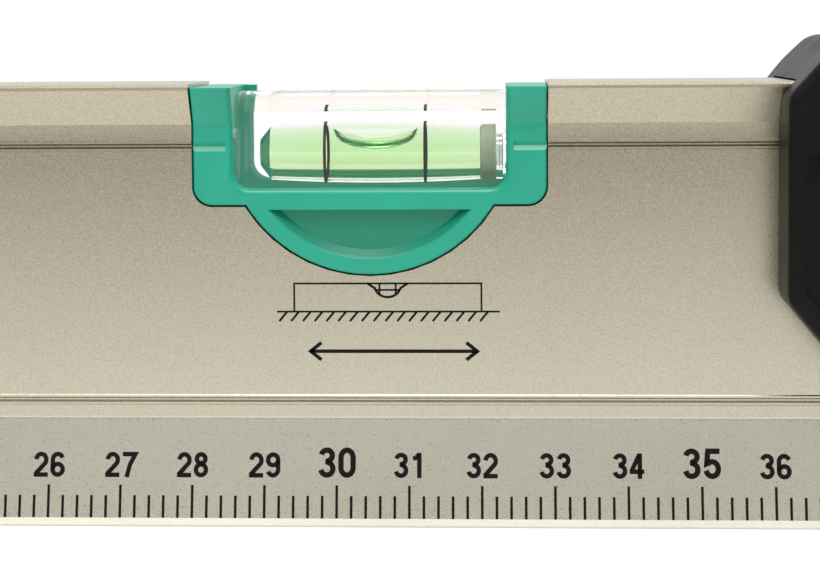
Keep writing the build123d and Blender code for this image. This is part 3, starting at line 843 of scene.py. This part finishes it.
def make_symbols():
    """Symbols under the horizontal vial and beside the plumb one."""
    ground = web_place(2.4 * MM, 29.5 * MM)
    below = web_place(3.2 * MM, 24.0 * MM)
    new_object("level_symbol", lambda bm: level_symbol(bm, ground), PRINT)
    new_object("level_arrow", lambda bm: double_arrow(bm, below, 11.5 * MM), PRINT)
    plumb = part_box("plumb_vial_holder")
    beside = web_place(plumb[1].x + 8 * MM, (plumb[0].z + plumb[1].z) / 2)
    upright = beside @ Matrix.Rotation(math.radians(90), 4, "Z")
    new_object("plumb_arrow", lambda bm: double_arrow(bm, upright, 9 * MM), PRINT)


# ---------------------------------------------------------------- finishes on CAD pieces

def paint(material, *names):
    for name in names:
        mesh = nodes[name].data
        mesh.materials.clear()
        mesh.materials.append(material)


def finish_cad():
    paint(aluminium_material(), "body_extrusion")
    holder = moulded_plastic(
        "holder_plastic",
        rgb(20, 162, 134),
        rgb(18, 155, 127),
        0.36,
        0.3 * MM,
        0.004 * MM,
        # painted shade in the recesses, and the colour of the painted glow round the vial
        shade_glow_colour=rgb(4, 130, 102),
    )
    paint(holder, "horizontal_vial_holder", "plumb_vial_holder")
    handle = moulded_plastic(
        "handle_plastic",
        rgb(12, 13, 11),
        rgb(8, 9, 7),
        0.42,
        0.25 * MM,
        0.02 * MM,
        gloss=0.14,
        dust=rgb(70, 68, 62),
    )
    paint(handle, "handle_front_shell", "handle_rear_shell")
    cap = moulded_plastic("cap_plastic", rgb(22, 23, 22), rgb(17, 18, 17), 0.48, 0.3 * MM, 0.015 * MM)
    paint(cap, "end_cap_left", "end_cap_right")
    paint(steel_material(), "handle_screws")
    paint(PRINT, "horizontal_vial_marks", "plumb_vial_marks")


# ---------------------------------------------------------------- studio

FLOOR_HALF_WIDTH = 4.0
FLOOR_FRONT = 4.0
FLOOR_BACK = 0.8


def make_floor():
    bm = bmesh.new()
    bmesh.ops.create_grid(bm, x_segments=2, y_segments=2, size=1.0)
    bmesh.ops.scale(bm, vec=(FLOOR_HALF_WIDTH, (FLOOR_FRONT + FLOOR_BACK) / 2, 1), verts=bm.verts)
    bmesh.ops.translate(bm, vec=(0, (FLOOR_BACK - FLOOR_FRONT) / 2, 0), verts=bm.verts)
    mesh = bpy.data.meshes.new("studio_floor")
    bm.to_mesh(mesh)
    bm.free()
    mesh.materials.append(floor_material())
    floor = bpy.data.objects.new("studio_floor", mesh)
    bpy.context.scene.collection.objects.link(floor)


def make_world():
    """White behind the object, a dim band at the horizon in front, lighter above."""
    world = bpy.data.worlds.new("studio")
    world.use_nodes = True
    tree = world.node_tree
    tree.nodes.clear()
    output = tree.nodes.new("ShaderNodeOutputWorld")
    background = tree.nodes.new("ShaderNodeBackground")
    place = tree.nodes.new("ShaderNodeTexCoord")
    split = tree.nodes.new("ShaderNodeSeparateXYZ")
    front = tree.nodes.new("ShaderNodeValToRGB")
    behind = tree.nodes.new("ShaderNodeMapRange")
    mix = tree.nodes.new("ShaderNodeMix")
    mix.data_type = "RGBA"
    ramp = front.color_ramp
    ramp.elements[0].position = 0.04
    ramp.elements[0].color = (0.1, 0.09, 0.07, 1)
    ramp.elements[1].position = 0.9
    ramp.elements[1].color = (0.9, 0.9, 0.9, 1)
    step = ramp.elements.new(0.22)
    step.color = (0.55, 0.54, 0.5, 1)
    behind.inputs["From Min"].default_value = -0.1
    behind.inputs["From Max"].default_value = 0.35
    mix.inputs[7].default_value = (1.0, 1.0, 1.0, 1)
    links = tree.links
    links.new(place.outputs["Generated"], split.inputs[0])
    links.new(split.outputs["Z"], front.inputs[0])
    links.new(split.outputs["Y"], behind.inputs[0])
    links.new(behind.outputs[0], mix.inputs[0])
    links.new(front.outputs[0], mix.inputs[6])
    rays = tree.nodes.new("ShaderNodeLightPath")
    seen = tree.nodes.new("ShaderNodeMix")
    seen.data_type = "RGBA"
    seen.inputs[7].default_value = (1.0, 1.0, 1.0, 1)
    links.new(rays.outputs["Is Camera Ray"], seen.inputs[0])
    links.new(mix.outputs[2], seen.inputs[6])
    links.new(seen.outputs[2], background.inputs["Color"])
    links.new(background.outputs[0], output.inputs["Surface"])
    bpy.context.scene.world = world


def make_softbox(name, elevation, azimuth, distance, width, height, radiance):
    """A rectangular soft light, aimed at the middle of the horizontal vial."""
    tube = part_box("horizontal_vial_tube")
    target = (tube[0] + tube[1]) / 2
    up = math.radians(elevation)
    turn = math.radians(azimuth)
    towards = Vector((math.sin(turn) * math.cos(up), -math.cos(turn) * math.cos(up), math.sin(up)))
    data = bpy.data.lights.new(name, "AREA")
    data.shape = "RECTANGLE"
    data.size = width
    data.size_y = height
    data.energy = radiance * math.pi * width * height
    light = bpy.data.objects.new(name, data)
    light.location = target + towards * distance
    light.rotation_mode = "QUATERNION"
    light.rotation_quaternion = (-towards).to_track_quat("-Z", "Y")
    bpy.context.scene.collection.objects.link(light)


CAMERA_PLACE = Vector((17.35, -266.72, 67.77)) * MM
CAMERA_YAW = 2.586          # degrees to the left
CAMERA_PITCH = 3.203        # degrees down
CAMERA_ROLL = -0.398
CAMERA_LENS = 83.41
CAMERA_SHIFT = -0.18


def make_camera():
    """Slightly above the body's top, right of the vial and looking a little left."""
    yaw = math.radians(CAMERA_YAW)
    pitch = math.radians(CAMERA_PITCH)
    roll = math.radians(CAMERA_ROLL)
    level = Vector((-math.sin(yaw), math.cos(yaw), 0))
    forward = level * math.cos(pitch) - Vector((0, 0, math.sin(pitch)))
    right = Vector((math.cos(yaw), math.sin(yaw), 0))
    up = right.cross(forward)
    tilted_right = math.cos(roll) * right + math.sin(roll) * up
    tilted_up = -math.sin(roll) * right + math.cos(roll) * up
    data = bpy.data.cameras.new("camera")
    data.sensor_width = 36.0
    data.lens = CAMERA_LENS
    data.shift_y = CAMERA_SHIFT
    data.clip_start = 0.01
    data.clip_end = 20.0
    camera = bpy.data.objects.new("camera", data)
    turned = Matrix((tilted_right, tilted_up, -forward)).transposed().to_4x4()
    camera.matrix_world = Matrix.Translation(CAMERA_PLACE) @ turned
    bpy.context.scene.collection.objects.link(camera)
    bpy.context.scene.camera = camera


finish_cad()
make_vial("horizontal")
make_vial("plumb")
make_scale()
make_symbols()
make_floor()
make_world()
make_softbox(
    "key_softbox", elevation=63, azimuth=0, distance=0.9, width=0.42, height=0.3, radiance=12.0
)
make_camera()
bpy.context.scene.view_settings.view_transform = "Standard"
bpy.context.scene.cycles.use_denoising = True
